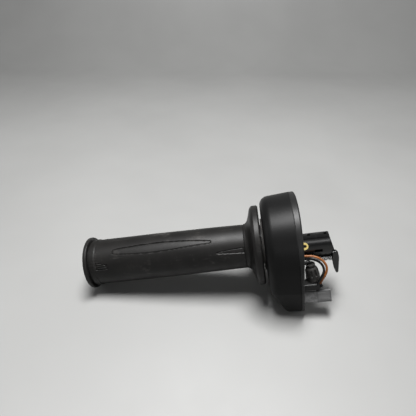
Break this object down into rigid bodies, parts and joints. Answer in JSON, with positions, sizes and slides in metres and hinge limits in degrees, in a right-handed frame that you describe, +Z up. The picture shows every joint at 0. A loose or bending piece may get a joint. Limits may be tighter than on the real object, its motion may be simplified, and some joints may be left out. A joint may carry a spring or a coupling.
{
  "type": "motorcycle throttle grip",
  "caption": "Heated twist grip with a rubber sleeve, round sensor housing and half-shell handlebar saddle; twisting it turns a geared sensor magnet.",
  "frame": {"origin": "on the handlebar's axis, in the plane of the housing's outer, switch-side face", "axes": "+X along the handlebar towards the middle of the bike, -Y forward, +Z up, for a right-hand grip"},
  "size_m": [0.1854, 0.0726, 0.0806],
  "materials": {
    "tube_plastic": "moulded nylon",
    "heater_film": "polyimide film",
    "grip_rubber": "worn satin rubber with moulded panels",
    "end_ring_rubber": "satin rubber",
    "housing_plastic": "fine-grained black plastic",
    "gasket_rubber": "matt black rubber",
    "screw_steel": "zinc-plated steel",
    "bush_plastic": "natural acetal",
    "felt": "pressed felt",
    "gear_plastic": "natural acetal",
    "magnet_steel": "nickel plate",
    "pin_steel": "ground steel",
    "board_laminate": "solder mask",
    "chip_plastic": "moulded epoxy",
    "spring_steel": "blued spring steel",
    "flex_film": "polyimide film",
    "saddle_plastic": "glass-filled nylon with a semi-gloss skin",
    "insert_brass": "turned brass",
    "brown_insulation": "extruded insulation",
    "black_insulation": "extruded insulation",
    "boot_rubber": "moulded rubber",
    "plug_plastic": "moulded nylon",
    "connector_plastic": "moulded grey nylon",
    "terminal_brass": "tinned brass"
  },
  "bodies": {
    "housing": {"housing_shell": "housing_plastic", "back_cover": "housing_plastic", "cover_gasket": "gasket_rubber", "cover_screws": "screw_steel", "tube_bush": "bush_plastic", "dust_washer": "felt", "sensor_axle": "pin_steel", "sensor_board": "board_laminate", "board_screws": "screw_steel", "hall_sensors": "chip_plastic", "return_spring": "spring_steel", "heater_flex": "flex_film", "bar_saddle": "saddle_plastic", "sleeve_screws": "screw_steel", "clamp_insert": "insert_brass", "clamp_screw": "screw_steel", "wire_grommet": "gasket_rubber", "brown_wire": "brown_insulation", "black_wire": "black_insulation", "sensor_lead": "black_insulation", "cable_boot": "boot_rubber", "heater_plug": "plug_plastic", "signal_socket": "connector_plastic", "signal_plug": "connector_plastic", "terminal_pins": "terminal_brass"},
    "throttle": {"throttle_tube": "tube_plastic", "tube_disc": "tube_plastic", "grip_flange": "grip_rubber", "heater_foil": "heater_film", "grip_rubber": "grip_rubber", "end_ring": "end_ring_rubber", "drive_gear": "gear_plastic"},
    "sensor_rotor": {"sensor_gear": "gear_plastic", "sensor_magnet": "magnet_steel"}
  },
  "joints": [
    {"name": "throttle_twist", "type": "hinge", "parent": "housing", "child": "throttle", "pos_m": [0, 0, 0], "axis": [-1, 0, 0], "range_deg": [0, 70], "stiffness_Nm_per_rad": 0.35, "springref_deg": -34.38},
    {"name": "sensor_spin", "type": "hinge", "parent": "housing", "child": "sensor_rotor", "pos_m": [-0.0135, -0.01541, -0.02045], "axis": [-1, 0, 0], "range_deg": [-210, 0]}
  ],
  "couplings": [
    {"joint": "sensor_spin", "follows": "throttle_twist", "ratio": -3}
  ]
}
